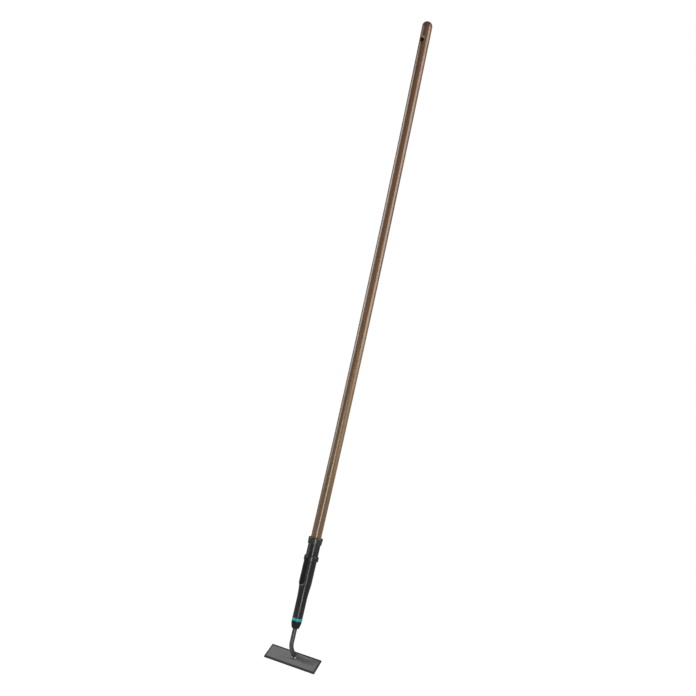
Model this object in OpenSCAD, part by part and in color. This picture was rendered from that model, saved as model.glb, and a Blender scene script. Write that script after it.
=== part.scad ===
// Long-handled dutch hoe. A bowed ash handle sits in a moulded sleeve, and a bent steel neck,
// pinned in the foot of the sleeve, carries a flat push blade.
// All lengths are millimetres and all angles degrees. +Z runs up the axis of the sleeve, X runs
// across the blade, and the cutting edge is at the front, towards -Y.
// The origin is the middle of the hanging hole, where the tool hangs on its hook.

/* [Handle] */
// Length of the handle above the mouth of the sleeve, up to the top of the butt
handle_length = 1323.1; // [700:0.1:1500]
// Diameter of the handle where it leaves the collar
handle_root_d = 26.5; // [25:0.1:32]
// Diameter of the handle at its narrowest
handle_waist_d = 25.3; // [20:0.1:28]
// Diameter of the handle at the butt
handle_butt_d = 25.6; // [22:0.1:30]
// Height of the domed end of the butt
butt_dome = 16; // [6:0.1:20]
// How far forward the bow of the wood brings the butt
handle_lean = 30.5; // [0:0.5:60]
// Depth of the shoulder that rests on the mouth of the sleeve
handle_shoulder = 0.75; // [0.4:0.05:1.5]
// Diameter of the hanging hole
hole_d = 11; // [6:0.1:14]
// Distance of the hanging hole below the top of the butt
hole_drop = 47.5; // [30:0.5:90]
// Width of the eased rim of the hanging hole
hole_ease = 1.2; // [0.4:0.1:2.5]

/* [Sleeve] */
// Thickness of the sleeve's wall round the handle
sleeve_wall = 3; // [2.2:0.1:5]
// Length of the wide upper tube, from the taper to the collar
upper_length = 102; // [90:0.5:140]
// Length of the taper between the two tubes
taper_length = 40; // [20:0.5:60]
// Length of the slim lower tube, from the colour ring to the taper
lower_length = 49.5; // [40:0.1:80]
// Depth of the socket that takes the handle, below the mouth of the sleeve
socket_depth = 113; // [100:0.5:125]
// Distance from the collar's lower edge down to the bead
bead_drop = 30.5; // [15:0.5:34]
// Height of the bead round the sleeve
bead_height = 12.4; // [7:0.1:15]
// How far the bead stands out from the upper tube
bead_proud = 3; // [1.5:0.05:5]
// Radius on the edges of the bead
bead_round = 3; // [0.8:0.1:3.2]

/* [Collar] */
// Height of the collar
collar_height = 17.5; // [12:0.1:30]
// Thickness of the collar's skirt, at its widest
collar_wall = 2.85; // [2:0.05:5]
// How much narrower the foot of the collar is than its widest place, on each side
collar_flare = 0.9; // [0:0.05:1.2]
// Thickness of the lip that closes over the mouth of the sleeve
collar_lip = 4; // [2:0.1:6]
// Radius on the upper edge of the collar
collar_round = 3.4; // [1:0.1:4]

/* [Panel] */
// Width of the raised tongue on the front of the sleeve
tongue_width = 18; // [14:0.1:22]
// Length of the tongue below the middle of the bead
tongue_length = 74; // [50:0.5:85]
// How far the tongue's flat front stands out from the upper tube
tongue_raise = 1.85; // [0.8:0.05:3]
// Width of the sloped edge of the tongue
tongue_edge = 1.2; // [0.3:0.1:1.5]
// Width of the tongue's rim, round the recess
tongue_rim = 3; // [2:0.1:4]
// Depth of the recess that holds the cover plate
recess_depth = 2; // [1.5:0.05:2.4]
// Thickness of the bare cover plate
plate_thickness = 1.2; // [0.6:0.05:1.4]

/* [Foot] */
// Height of the colour ring
ring_height = 7.1; // [6:0.1:14]
// Thickness of the colour ring's wall
ring_wall = 3.35; // [2.4:0.05:5]
// How far the colour ring stands out from the tube above it
ring_proud = 0.4; // [0:0.05:1]
// Height of the nose cap
nose_height = 19.2; // [13:0.1:26]
// Diameter of the nose cap's flat end
nose_end_d = 18.2; // [15:0.1:21]
// Wall of the spigot that the colour ring and the nose cap sit on
spigot_wall = 4.2; // [3.5:0.1:5.5]
// Depth of the spigot in the nose cap
spigot_seat = 8; // [5:0.1:10]

/* [Neck] */
// Diameter of the neck's bar
neck_d = 11.4; // [8:0.1:13]
// Angle that the neck bends back from the sleeve's axis
neck_bend = 45; // [30:1:60]
// Radius of the bend, along the middle of the bar
bend_radius = 30; // [18:0.5:45]
// Distance from the nose cap's end down to the corner of the bend
neck_drop = 48.2; // [36:0.1:80]
// Distance from the corner of the bend to the blade
neck_leg = 35; // [30:0.1:60]
// Length of the tang above the nose cap's end
tang_length = 92; // [50:0.5:100]

/* [Blade] */
// Width of the blade along its front cutting edge
blade_front_w = 160; // [100:0.5:220]
// Width of the blade along its rear edge
blade_rear_w = 157; // [100:0.5:220]
// Depth of the blade from the front edge to the rear edge
blade_depth = 42.3; // [34:0.1:70]
// Thickness of the blade
blade_thickness = 2.5; // [2:0.1:5]
// Angle between the blade and the sleeve's axis
blade_angle = 36; // [25:0.5:50]
// Distance from the rear edge to the middle of the neck
landing_setback = 13.6; // [12:0.1:16]
// Width of the ground bevel on top of the front edge
bevel_width = 4; // [1:0.1:8]
// Thickness left at the front edge by the bevel
bevel_land = 1; // [0.5:0.1:2]
// Size of the weld round the foot of the neck
weld_leg = 4.4; // [2:0.1:5]

/* [Fasteners] */
// Diameter of the cross pin that holds the tang
pin_d = 4; // [2:0.1:5]
// Diameter of the wood screw under the cover plate
screw_d = 4.2; // [3:0.1:5]
// Length of the wood screw
screw_length = 18; // [12:0.5:24]
// Diameter of the wood screw's countersunk head
screw_head_d = 8.4; // [6:0.1:10]
// Height of the wood screw's countersunk head
screw_head_h = 2.3; // [1.8:0.1:2.5]

/* [Hidden] */
$fn = 96;

// Clearance on each side between pieces that are pressed, pinned or clipped together
fit_gap = 0.1;
// Clearance on each side between the handle and the moulded pieces round it
wood_gap = 0.15;
// Extra length on every cut, so that it passes the face it opens
overrun = 1;
// Small break on the edges of moulded pieces
edge_break = 0.5;
// How far the tenon is carried up into the shaft
tenon_bond = 4;
// Chamfer on the lower end of the tenon and the upper end of the tang
lead_in = 1.5;
// How much bending draws the neck's leg thinner, on each side, and how far the leg reaches into the bend
leg_draw = 0.1;
leg_bond = 1;
// Chamfer on the ends of the cross pin
pin_chamfer = 0.4;
// Rim of the screw's head above its cone
screw_rim = 0.3;
// Length of the screw's point
screw_point = 4;
// Length, width and depth of the cross in the screw's head
cross_length = 4.4;
cross_width = 1;
cross_depth = 1.2;
// Radius on the lower edge of the collar and on the edges of the colour ring
collar_foot_round = 1.4;
ring_round = 1;
// Round of the nose cap's lower edge
nose_round = 0.8;
// Bevel on the cover plate's front edge
plate_bevel = 0.3;
// Radius on the blade's corners
corner_round = 1.5;

// Place of the waist along the handle, and the curve of the sleeve's taper
waist_share = 0.72;
taper_curve = 1.6;

// Counts of the steps along curved outlines
shaft_sides = 32;
shaft_rings = 16;
dome_rings = 8;
arc_steps = 8;
taper_steps = 8;

// Radii of the handle and the sleeve
root_r = handle_root_d / 2;
waist_r = handle_waist_d / 2;
butt_r = handle_butt_d / 2;
tenon_r = root_r - handle_shoulder;
socket_r = tenon_r + wood_gap;
upper_r = socket_r + sleeve_wall;
bead_r = upper_r + bead_proud;
bead_edge_r = min(bead_round, bead_proud, bead_height / 2);
collar_seat_r = upper_r + fit_gap;
collar_r = collar_seat_r + collar_wall;
lip_r = root_r + 2 * wood_gap;

// Radii of the neck and the foot of the sleeve
neck_r = neck_d / 2;
leg_r = neck_r - leg_draw;
tang_bore_r = neck_r + fit_gap;
spigot_r = tang_bore_r + spigot_wall;
ring_bore_r = spigot_r + fit_gap;
ring_r = ring_bore_r + ring_wall;
lower_r = ring_r - ring_proud;
nose_end_r = nose_end_d / 2;
pin_r = pin_d / 2;
pin_hole_r = pin_r + fit_gap;
screw_r = screw_d / 2;
screw_head_r = screw_head_d / 2;

// Heights above the lowest corner of the blade
front_reach = blade_depth - landing_setback;
landing_z = front_reach * cos(blade_angle) + blade_thickness * sin(blade_angle);
corner_z = landing_z + neck_leg * cos(neck_bend);
nose_z = corner_z + neck_drop;
ring_z = nose_z + nose_height;
spigot_z = ring_z - spigot_seat + fit_gap;
body_z = ring_z + ring_height;
taper_z = body_z + lower_length;
upper_z = taper_z + taper_length;
collar_z = upper_z + upper_length;
collar_top_z = collar_z + collar_height;
mouth_z = collar_top_z - collar_lip - fit_gap;
socket_z = mouth_z - socket_depth;
bead_top_z = collar_z - bead_drop;
bead_z = bead_top_z - bead_height;
bead_mid_z = (bead_z + bead_top_z) / 2;
tongue_z = bead_mid_z - tongue_length;
tang_top_z = nose_z + tang_length;
pin_z = ring_z + ring_height / 2;
butt_z = mouth_z + handle_length;
hole_z = butt_z - hole_drop;

// Place of the neck's foot on the blade
landing_y = neck_leg * sin(neck_bend);
bend_run = bend_radius * tan(neck_bend / 2);

// Front faces of the tongue, counted forward from the sleeve's axis
tongue_front = upper_r + tongue_raise;
recess_floor = tongue_front - recess_depth;
recess_half = tongue_width / 2 - tongue_rim;
recess_z = tongue_z + tongue_rim;
recess_length = bead_mid_z - recess_z;
screw_z = recess_z + recess_length / 2;

// Height of a point of a smooth step between 0 and 1
function ease(t) = (1 - cos(180 * t)) / 2;

// Share of the handle's length at height z
function shaft_share(z) = (z - mouth_z) / handle_length;

// Forward place of the middle of the bowed handle at height z
function bow_y(z) = -handle_lean * pow(max(0, shaft_share(z)), 2);

// Radius of the handle at a share of its length
function shaft_r(share) =
    share < waist_share
        ? root_r + (waist_r - root_r) * ease(share / waist_share)
        : waist_r + (butt_r - waist_r) * ease((share - waist_share) / (1 - waist_share));

// Points of an arc about a middle, from angle a to angle b
function arc(middle, r, a, b, steps) =
    [for (i = [0:steps]) let (t = a + (b - a) * i / steps) middle + r * [cos(t), sin(t)]];

// Outline of a strip that is square at the top and round at the bottom, from its lowest point
function tongue_outline(half, length) =
    concat(arc([0, half], half, 180, 360, 2 * arc_steps), [[half, length], [-half, length]]);

// Ring of points round the bowed middle line at height z
function shaft_ring(z, r) =
    [for (i = [0:shaft_sides - 1])
        let (t = 360 * i / shaft_sides) [r * cos(t), bow_y(z) + r * sin(t), z]];

// Moves the tool so that the origin lies in the middle of the hanging hole
module placed() {
    translate([0, -bow_y(hole_z), -hole_z])
        children();
}

// Turns a shape that grows along +Z so that it grows forward, with +Y of its plan upwards
module facing_front() {
    rotate([90, 0, 0])
        children();
}

// Sets a shape on the blade's upper face, with its own +Z square to the face
module on_blade() {
    translate([0, landing_y, landing_z])
        rotate([90 - blade_angle, 0, 0])
            children();
}

// Sets a bar's end at the corner of the bend, with its own +Z towards the blade
module along_leg() {
    translate([0, 0, corner_z])
        rotate([180 + neck_bend, 0, 0])
            children();
}

// Bowed shaft of the handle, from the shoulder to the domed butt
module shaft() {
    dome_z = butt_z - butt_dome;
    straight_heights = [for (i = [0:shaft_rings]) mouth_z + (dome_z - mouth_z) * i / shaft_rings];
    straight = [for (z = straight_heights) shaft_ring(z, shaft_r(shaft_share(z)))];
    dome_base_r = shaft_r(shaft_share(dome_z));
    dome = [for (i = [1:dome_rings - 1])
        let (t = 90 * i / dome_rings) shaft_ring(dome_z + butt_dome * sin(t), dome_base_r * cos(t))];
    rings = concat(straight, dome);
    points = concat(
        [for (ring = rings) each ring],
        [[0, 0, mouth_z], [0, bow_y(butt_z), butt_z]]
    );
    last = len(rings) - 1;
    foot = len(points) - 2;
    apex = len(points) - 1;
    sides = [for (k = [0:last - 1], i = [0:shaft_sides - 1])
        let (
            j = (i + 1) % shaft_sides,
            low = k * shaft_sides,
            high = low + shaft_sides
        )
        each [[low + i, high + i, high + j], [low + i, high + j, low + j]]];
    ends = [for (i = [0:shaft_sides - 1])
        let (
            j = (i + 1) % shaft_sides,
            top = last * shaft_sides
        )
        each [[foot, i, j], [apex, top + j, top + i]]];
    polyhedron(points, concat(sides, ends), convexity = 4);
}

// Turned tenon that fills the sleeve's socket
module tenon() {
    tenon_z = socket_z + wood_gap;
    rotate_extrude()
        polygon([
            [0, tenon_z],
            [tenon_r - lead_in, tenon_z],
            [tenon_r, tenon_z + lead_in],
            [tenon_r, mouth_z + tenon_bond],
            [0, mouth_z + tenon_bond]
        ]);
}

// Hanging hole with its two eased rims, cut through the butt from front to back
module hanging_hole() {
    hole_r = hole_d / 2;
    face = shaft_r(shaft_share(hole_z));
    translate([0, bow_y(hole_z), hole_z])
        for (side = [0, 180])
            rotate([90, 0, side]) {
                cylinder(h = face + overrun, r = hole_r);
                translate([0, 0, face - hole_ease])
                    cylinder(h = hole_ease + overrun, r1 = hole_r, r2 = hole_r + hole_ease + overrun);
            }
}

// Outline of the wood screw, widened by a clearance, with its head's top at zero
module screw_outline(gap) {
    polygon([
        [0, 0],
        [screw_head_r + gap, 0],
        [screw_head_r + gap, screw_rim],
        [screw_r + gap, screw_head_h],
        [screw_r + gap, screw_length - screw_point],
        [0, screw_length + gap]
    ]);
}

// Sets a shape in the wood screw's place, with its own +Z into the handle
module at_screw() {
    translate([0, -recess_floor, screw_z])
        rotate([-90, 0, 0])
            children();
}

// Handle of ash, with its tenon, hanging hole and screw hole
module handle() {
    color("#7d5f48")
        difference() {
            union() {
                shaft();
                tenon();
            }
            hanging_hole();
            at_screw()
                rotate_extrude()
                    screw_outline(fit_gap);
        }
}

// Solid of the sleeve turned about its axis: spigot, slim tube, taper, wide tube and bead
module sleeve_turning() {
    taper = [for (i = [0:taper_steps])
        let (t = i / taper_steps)
        [lower_r + (upper_r - lower_r) * pow(t, taper_curve), taper_z + taper_length * t]];
    edge_middle = bead_r - bead_edge_r;
    bead_low = arc([edge_middle, bead_z + bead_edge_r], bead_edge_r, -90, 0, arc_steps);
    bead_high = arc([edge_middle, bead_top_z - bead_edge_r], bead_edge_r, 0, 90, arc_steps);
    rotate_extrude()
        polygon(concat(
            [
                [0, spigot_z],
                [spigot_r - edge_break, spigot_z],
                [spigot_r, spigot_z + edge_break],
                [spigot_r, body_z],
                [lower_r - edge_break, body_z],
                [lower_r, body_z + edge_break]
            ],
            taper,
            [[upper_r, bead_z]],
            bead_low,
            bead_high,
            [
                [upper_r, bead_top_z],
                [upper_r, mouth_z - edge_break],
                [upper_r - edge_break, mouth_z],
                [0, mouth_z]
            ]
        ));
}

// Raised tongue that hangs from the bead on the front of the sleeve
module tongue() {
    half = tongue_width / 2;
    side_height = tongue_front - tongue_edge;
    translate([0, 0, tongue_z])
        facing_front()
            hull() {
                linear_extrude(height = side_height)
                    polygon(tongue_outline(half, tongue_length));
                translate([0, tongue_edge, 0])
                    linear_extrude(height = tongue_front)
                        polygon(tongue_outline(half - tongue_edge, tongue_length - tongue_edge));
            }
}

// Recess in the tongue, open to the front
module recess() {
    translate([0, -recess_floor, recess_z])
        facing_front()
            linear_extrude(height = bead_r - recess_floor + overrun)
                polygon(tongue_outline(recess_half, recess_length));
}

// Moulded sleeve with its socket, tang bore, pin hole, recess and screw hole
module sleeve() {
    color("#2b2d2f")
        difference() {
            union() {
                sleeve_turning();
                tongue();
            }
            translate([0, 0, socket_z])
                cylinder(h = socket_depth + overrun, r = socket_r);
            translate([0, 0, spigot_z - overrun])
                cylinder(h = tang_top_z + fit_gap - spigot_z + overrun, r = tang_bore_r);
            translate([0, 0, pin_z])
                rotate([0, 90, 0])
                    cylinder(h = 2 * lower_r, r = pin_hole_r, center = true);
            recess();
            at_screw()
                rotate_extrude()
                    screw_outline(fit_gap);
        }
}

// Clamping collar over the mouth of the sleeve
module collar() {
    foot_r = collar_r - collar_flare;
    color("#262a2a")
        rotate_extrude()
            polygon(concat(
                [[collar_seat_r, collar_z]],
                arc([foot_r - collar_foot_round, collar_z + collar_foot_round],
                    collar_foot_round, -90, 0, arc_steps),
                arc([collar_r - collar_round, collar_top_z - collar_round],
                    collar_round, 0, 90, arc_steps),
                [
                    [lip_r, collar_top_z],
                    [lip_r, collar_top_z - collar_lip],
                    [collar_seat_r, collar_top_z - collar_lip]
                ]
            ));
}

// Bare cover plate, clipped into the tongue's recess over the screw
module cover_plate() {
    half = recess_half - fit_gap;
    length = recess_length - 2 * fit_gap;
    color("#1d1f21")
        translate([0, -recess_floor, recess_z + fit_gap])
            facing_front()
                hull() {
                    linear_extrude(height = plate_thickness - plate_bevel)
                        polygon(tongue_outline(half, length));
                    translate([0, plate_bevel, 0])
                        linear_extrude(height = plate_thickness)
                            polygon(tongue_outline(half - plate_bevel, length - 2 * plate_bevel));
                }
}

// Countersunk wood screw that keeps the handle in the sleeve
module handle_screw() {
    color("#b9bcbf")
        at_screw()
            difference() {
                rotate_extrude()
                    screw_outline(0);
                for (turn = [0, 90])
                    rotate([0, 0, turn])
                        translate([-cross_length / 2, -cross_width / 2, -overrun])
                            cube([cross_length, cross_width, cross_depth + overrun]);
            }
}

// Coloured ring that hides the ends of the cross pin
module colour_ring() {
    color("#1fa3a8")
        rotate_extrude()
            polygon(concat(
                [[ring_bore_r, ring_z]],
                arc([ring_r - ring_round, ring_z + ring_round], ring_round, -90, 0, arc_steps),
                arc([ring_r - ring_round, body_z - ring_round], ring_round, 0, 90, arc_steps),
                [[ring_bore_r, body_z]]
            ));
}

// Rounded nose cap, pushed up onto the spigot under the colour ring
module nose_cap() {
    inset = lower_r - nose_end_r;
    side_r = (inset * inset + nose_height * nose_height) / (2 * inset);
    sweep = asin(nose_height / side_r);
    side = arc([lower_r - side_r, ring_z], side_r, -sweep, 0, arc_steps);
    color("#1f2122")
        rotate_extrude()
            polygon(concat(
                [
                    [tang_bore_r, nose_z],
                    [nose_end_r - nose_round, nose_z]
                ],
                [for (i = [1:arc_steps]) side[i]],
                [
                    [ring_bore_r, ring_z],
                    [ring_bore_r, ring_z - spigot_seat],
                    [tang_bore_r, ring_z - spigot_seat]
                ]
            ));
}

// Neck of round bar: tang and straight stretch, bend, and the leg that lands on the blade
module neck() {
    bend_z = corner_z + bend_run;
    color("#5f6163")
        difference() {
            union() {
                rotate_extrude()
                    polygon([
                        [0, bend_z],
                        [neck_r, bend_z],
                        [neck_r, tang_top_z - lead_in],
                        [neck_r - lead_in, tang_top_z],
                        [0, tang_top_z]
                    ]);
                translate([0, bend_radius, bend_z])
                    rotate([-90, 0, -90])
                        rotate_extrude(angle = neck_bend)
                            translate([bend_radius, 0])
                                circle(r = neck_r);
                along_leg()
                    translate([0, 0, bend_run - leg_bond])
                        cylinder(h = neck_leg, r = leg_r);
            }
            on_blade()
                translate([-neck_d, -neck_d, -neck_leg])
                    cube([2 * neck_d, 2 * neck_d, neck_leg]);
            translate([0, 0, pin_z])
                rotate([0, 90, 0])
                    cylinder(h = 2 * neck_d, r = pin_hole_r, center = true);
        }
}

// Cross pin through the spigot and the tang
module tang_pin() {
    half_length = spigot_r - pin_chamfer;
    color("#a9acae")
        translate([0, 0, pin_z])
            rotate([0, 90, 0])
                rotate_extrude()
                    polygon([
                        [0, -half_length],
                        [pin_r - pin_chamfer, -half_length],
                        [pin_r, pin_chamfer - half_length],
                        [pin_r, half_length - pin_chamfer],
                        [pin_r - pin_chamfer, half_length],
                        [0, half_length]
                    ]);
}

// Weld round the foot of the neck
module weld_bead() {
    color("#6b6c6e")
        difference() {
            on_blade()
                rotate_extrude()
                    polygon(concat(
                        [[0, 0]],
                        arc([neck_r, 0], weld_leg, 0, 90, arc_steps),
                        [[0, weld_leg]]
                    ));
            along_leg()
                cylinder(h = neck_leg + neck_r, r = leg_r + fit_gap);
        }
}

// Outline of the blade with its corners eased, from the front edge to the rear edge
function blade_outline() =
    let (
        front = blade_front_w / 2,
        rear = blade_rear_w / 2,
        low = -front_reach,
        high = landing_setback,
        c = corner_round
    )
    concat(
        arc([-front + c, low + c], c, 180, 270, arc_steps),
        arc([front - c, low + c], c, 270, 360, arc_steps),
        arc([rear - c, high - c], c, 0, 90, arc_steps),
        arc([-rear + c, high - c], c, 90, 180, arc_steps)
    );

// Flat blade, ground from above along its front edge
module blade() {
    bevel_drop = blade_thickness - bevel_land;
    bevel_slope = atan(bevel_drop / bevel_width);
    color("#6f7173")
        on_blade()
            difference() {
                translate([0, 0, -blade_thickness])
                    linear_extrude(height = blade_thickness)
                        polygon(blade_outline());
                translate([0, bevel_width - front_reach, 0])
                    rotate([bevel_slope, 0, 0])
                        translate([-blade_front_w, -2 * bevel_width, 0])
                            cube([2 * blade_front_w, 2 * bevel_width, blade_thickness]);
            }
}

placed() handle();
placed() sleeve();
placed() collar();
placed() cover_plate();
placed() handle_screw();
placed() colour_ring();
placed() nose_cap();
placed() neck();
placed() tang_pin();
placed() weld_bead();
placed() blade();
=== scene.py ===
"""Looks of a long-handled dutch hoe, built around its fixed CAD frame.

Every length is in metres. +Z runs up the axis of the sleeve, X runs across the blade, and -Y is the
front, where the cutting edge points. The origin is the middle of the hanging hole.
"""

from __future__ import annotations

import logging
import math
from dataclasses import dataclass
from enum import Enum
from typing import NamedTuple, Sequence, Union

import bmesh
import bpy
from mathutils import Matrix, Vector


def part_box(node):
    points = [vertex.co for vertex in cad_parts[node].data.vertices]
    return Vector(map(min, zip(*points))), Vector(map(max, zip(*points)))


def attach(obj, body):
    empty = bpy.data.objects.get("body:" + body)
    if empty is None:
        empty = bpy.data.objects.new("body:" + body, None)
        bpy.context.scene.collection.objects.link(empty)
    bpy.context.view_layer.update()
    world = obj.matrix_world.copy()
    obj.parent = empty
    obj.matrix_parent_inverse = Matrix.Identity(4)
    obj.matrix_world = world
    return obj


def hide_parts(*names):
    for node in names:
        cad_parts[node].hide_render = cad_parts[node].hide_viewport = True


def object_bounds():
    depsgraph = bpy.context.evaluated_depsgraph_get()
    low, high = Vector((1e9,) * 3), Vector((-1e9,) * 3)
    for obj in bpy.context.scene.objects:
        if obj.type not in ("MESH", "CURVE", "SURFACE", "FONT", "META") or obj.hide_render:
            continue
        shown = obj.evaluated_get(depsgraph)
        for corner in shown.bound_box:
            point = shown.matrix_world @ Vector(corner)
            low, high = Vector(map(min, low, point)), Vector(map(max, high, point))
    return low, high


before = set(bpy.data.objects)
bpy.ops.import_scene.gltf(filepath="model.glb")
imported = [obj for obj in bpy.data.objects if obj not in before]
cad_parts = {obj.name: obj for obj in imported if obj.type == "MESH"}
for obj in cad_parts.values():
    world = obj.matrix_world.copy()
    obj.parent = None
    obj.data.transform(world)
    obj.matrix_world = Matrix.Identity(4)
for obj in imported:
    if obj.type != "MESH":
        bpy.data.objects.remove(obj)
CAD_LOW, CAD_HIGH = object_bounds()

MM = 0.001
MERGE_REACH = 0.003 * MM
ROOT_BODY = "root"
TURNED_SIDES = 120
FILLET_STEPS = 6
SHARP_ANGLE = math.radians(34)
EDGE_LEAST_SLOPE = 0.03
EDGE_FULL_SLOPE = 0.07
# Watts of an area lamp, per square metre, for each unit of the brightness that it shows.
LEVEL_TO_POWER = 4.0
ACROSS = Vector((1, 0, 0))
BACKWARD = Vector((0, 1, 0))
UPWARD = Vector((0, 0, 1))
LOG = logging.getLogger("dutch_hoe")

Colour = tuple[float, float, float]
Place = tuple[float, float, float]
Outline = list[tuple[float, float]]
Ring = list[Vector]
Piece = bpy.types.Object
Socket = bpy.types.NodeSocket
SocketValue = Union[Socket, float, tuple[float, ...]]
Surface = dict[str, SocketValue]

WHITE: Colour = (1.0, 1.0, 1.0)
WARM: Colour = (1.0, 0.955, 0.88)


class Slot(Enum):
    """Material slots of the record."""

    ASH = "ash_wood"
    BLACK = "black_plastic"
    COLLAR = "collar_plastic"
    PLATE = "plate_plastic"
    TURQUOISE = "turquoise_plastic"
    STEEL = "dark_steel"
    WELD = "weld_steel"
    FASTENER = "fastener_steel"


class Cut(Enum):
    """Ways to combine two solids."""

    JOIN = "UNION"
    REMOVE = "DIFFERENCE"


class Mark(Enum):
    """Values that a mesh carries for its finish."""

    EDGE = "edge"
    GROUND = "ground"
    RIM = "rim"
    BORE = "bore"
    GRAIN = "grain_space"


class Effect(Enum):
    """Node groups that several finishes share."""

    SKIN = "fine_skin"
    STREAKS = "long_streaks"
    MARKS = "handling_marks"
    WEAR = "edge_wear"


@dataclass(frozen=True)
class NodeBox:
    """Lowest and highest corner of a CAD node."""

    low: Vector
    high: Vector

    @classmethod
    def of(cls, node: str) -> NodeBox:
        """Reads a node's box from the frame."""
        return cls(*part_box(node))

    @property
    def half_width(self) -> float:
        """Half of the box's size along X."""
        return (self.high.x - self.low.x) / 2

    @property
    def axis_y(self) -> float:
        """Middle of the box along Y."""
        return (self.high.y + self.low.y) / 2

    @property
    def middle_z(self) -> float:
        """Middle of the box along Z."""
        return (self.low.z + self.high.z) / 2


@dataclass(frozen=True)
class Corner:
    """A corner of a turned outline: distance from the axis, height, and the radius that rounds it."""

    r: float
    z: float
    ease: float = 0.0


class Streaks(NamedTuple):
    """Streaks per metre across and along, and the range of the noise that they take up."""

    across: float
    along: float
    low: float
    high: float


def rounded(corners: Sequence[Corner], loop: bool) -> Outline:
    """Rounds the corners of an outline.

    Args:
        corners: The corners in order.
        loop: True where the last corner is joined to the first.

    Returns:
        The points of the rounded outline.
    """
    outline: Outline = []
    points = [Vector((corner.r, corner.z)) for corner in corners]
    for i, here in enumerate(points):
        if corners[i].ease == 0 or (not loop and i in (0, len(points) - 1)):
            outline.append((here.x, here.y))
            continue
        before = points[i - 1] - here
        after = points[(i + 1) % len(points)] - here
        half_angle = before.angle(after) / 2
        reach = min(corners[i].ease / math.tan(half_angle), before.length / 2, after.length / 2)
        radius = reach * math.tan(half_angle)
        inward = (before.normalized() + after.normalized()).normalized()
        middle = here + inward * radius / math.sin(half_angle)
        start = here + before.normalized() * reach - middle
        sweep = start.angle_signed(here + after.normalized() * reach - middle)
        for step in range(FILLET_STEPS + 1):
            spoke = Matrix.Rotation(-sweep * step / FILLET_STEPS, 2) @ start
            outline.append((middle.x + spoke.x, middle.y + spoke.y))
    return outline


def quarter_round(radius: float, steps: int = FILLET_STEPS) -> Outline:
    """Steps of a quarter round from a side onto a face: how far in, and how far short of the face."""
    turns = [math.pi / 2 * i / steps for i in range(steps + 1)]
    return [(radius * (1 - math.cos(turn)), radius * (1 - math.sin(turn))) for turn in turns]


def held(share: float) -> float:
    """A share that is held between 0 and 1."""
    return min(1.0, max(0.0, share))


def ease(share: float) -> float:
    """Smooth step from 0 to 1."""
    return (1 - math.cos(math.pi * held(share))) / 2


def as_object(name: str, edit: bmesh.types.BMesh) -> Piece:
    """Turns an edited mesh into an object of the scene.

    Args:
        name: Name of the object.
        edit: The mesh, which is freed.

    Returns:
        The object.
    """
    mesh = bpy.data.meshes.new(name)
    bmesh.ops.recalc_face_normals(edit, faces=edit.faces)
    edit.to_mesh(mesh)
    edit.free()
    made = bpy.data.objects.new(name, mesh)
    bpy.context.scene.collection.objects.link(made)
    return made


def loft(name: str, rings: Sequence[Ring], loop: bool = False) -> Piece:
    """Skins a row of rings, and closes its ends.

    Args:
        name: Name of the object.
        rings: Rings with equal counts of points, or single points where the skin ends in a pole.
        loop: True where the last ring is joined to the first.

    Returns:
        The closed skin.
    """
    edit = bmesh.new()
    rows = [[edit.verts.new(point) for point in ring] for ring in rings]
    for near, far in zip(rows, rows[1:] + rows[:1] if loop else rows[1:]):
        count = max(len(near), len(far))
        for i in range(count):
            j = (i + 1) % count
            if len(near) == 1:
                edit.faces.new((near[0], far[j], far[i]))
            elif len(far) == 1:
                edit.faces.new((near[i], near[j], far[0]))
            else:
                edit.faces.new((near[i], near[j], far[j], far[i]))
    if not loop:
        for end in (rows[0], rows[-1]):
            if len(end) > 1:
                edit.faces.new(end)
    return as_object(name, edit)


def circle(middle: Vector, along: Vector, radius: float, sides: int) -> Ring:
    """Ring of points of a circle, in the plane of the X direction and another one."""
    angles = [2 * math.pi * i / sides for i in range(sides)]
    return [middle + radius * (math.cos(a) * ACROSS + math.sin(a) * along) for a in angles]


def turned(name: str, corners: Sequence[Corner], axis_y: float, loop: bool = False) -> Piece:
    """Turns a rounded outline about an upright axis; a looped outline is closed and clear of the axis."""
    rings = [circle(Vector((0, axis_y, z)), BACKWARD, r, TURNED_SIDES if r > 0 else 1)
             for r, z in rounded(corners, loop)]
    return loft(name, rings, loop)


def combine(target: Piece, tool: Piece, kind: Cut) -> None:
    """Joins a tool to a target or cuts it out, and deletes the tool.

    Args:
        target: The solid that is changed.
        tool: The solid that is used up.
        kind: Whether the tool is joined or removed.
    """
    modifier = target.modifiers.new("combine", "BOOLEAN")
    modifier.operation = kind.value
    modifier.solver = "EXACT"
    modifier.object = tool
    edit = bmesh.new()
    edit.from_object(target, bpy.context.evaluated_depsgraph_get())
    target.modifiers.clear()
    bpy.data.meshes.remove(tool.data)
    write_clean(edit, target.data)


def write_clean(edit: bmesh.types.BMesh, mesh: bpy.types.Mesh) -> None:
    """Merges points that coincide, drops faces without area, and writes the result.

    Args:
        edit: The edited mesh, which is freed.
        mesh: The mesh that takes the result.
    """
    bmesh.ops.remove_doubles(edit, verts=edit.verts[:], dist=MERGE_REACH)
    bmesh.ops.dissolve_degenerate(edit, edges=edit.edges[:], dist=MERGE_REACH)
    edit.to_mesh(mesh)
    edit.free()


def store(piece: Piece, mark: Mark, domain: str, values: Sequence[float]) -> None:
    """Stores a value at each vertex or face of a piece."""
    piece.data.attributes.new(mark.value, "FLOAT", domain).data.foreach_set("value", values)


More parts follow.
